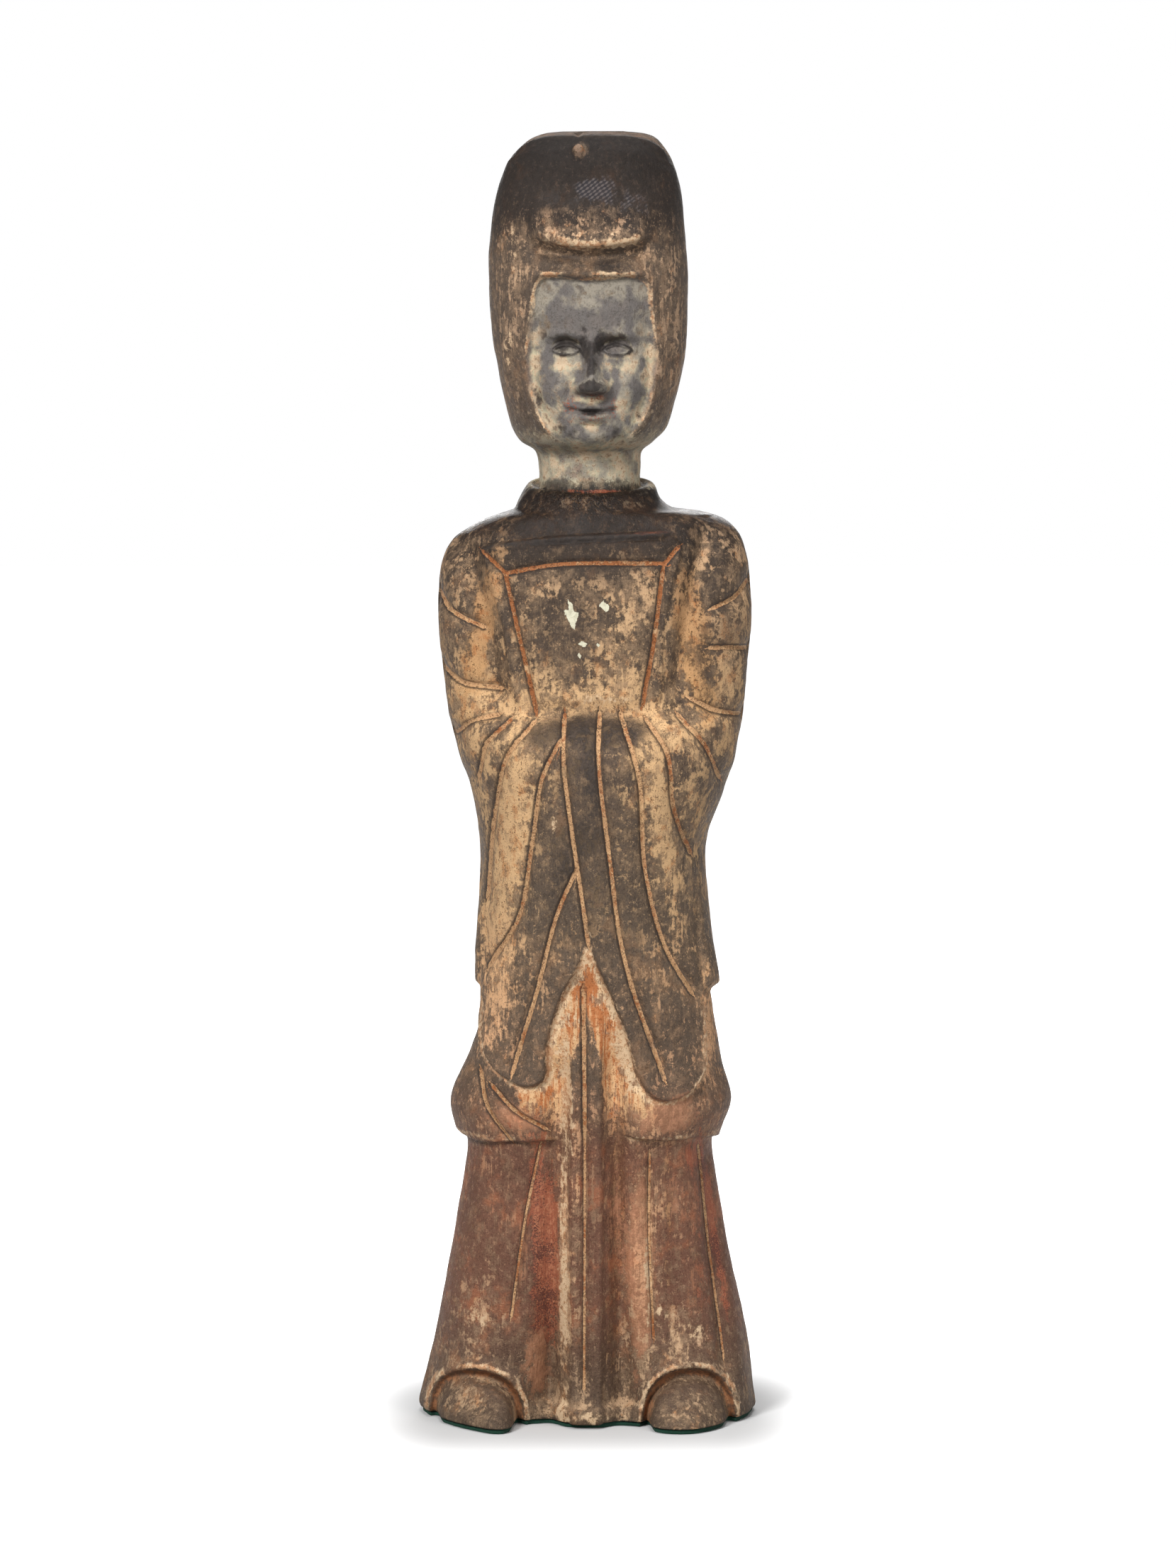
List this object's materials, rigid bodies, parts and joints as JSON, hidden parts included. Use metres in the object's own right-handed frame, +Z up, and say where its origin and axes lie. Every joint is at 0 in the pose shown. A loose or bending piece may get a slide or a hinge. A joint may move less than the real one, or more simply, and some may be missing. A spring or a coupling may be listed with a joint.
{
  "type": "painted pottery figure",
  "caption": "Standing robed attendant in a tall cap, hands joined inside long sleeves, hollow-moulded painted pottery on a thin felt pad.",
  "frame": {"origin": "underside of the felt pad, under the middle of the figure's width and depth", "axes": "+Z up along the figure's height, the figure faces -Y, +X to the right of someone who faces the figure"},
  "size_m": [0.148, 0.1044, 0.5603],
  "materials": {
    "painted_pottery": "fired grey-brown clay with worn earth paint in dark grey, tan, cream and iron red, matt, with a faint waxy sheen on the shoulders",
    "green_felt": "short dense green felt, matt"
  },
  "bodies": {
    "root": {"pottery_figure": "painted_pottery", "felt_pad": "green_felt"}
  },
  "joints": []
}
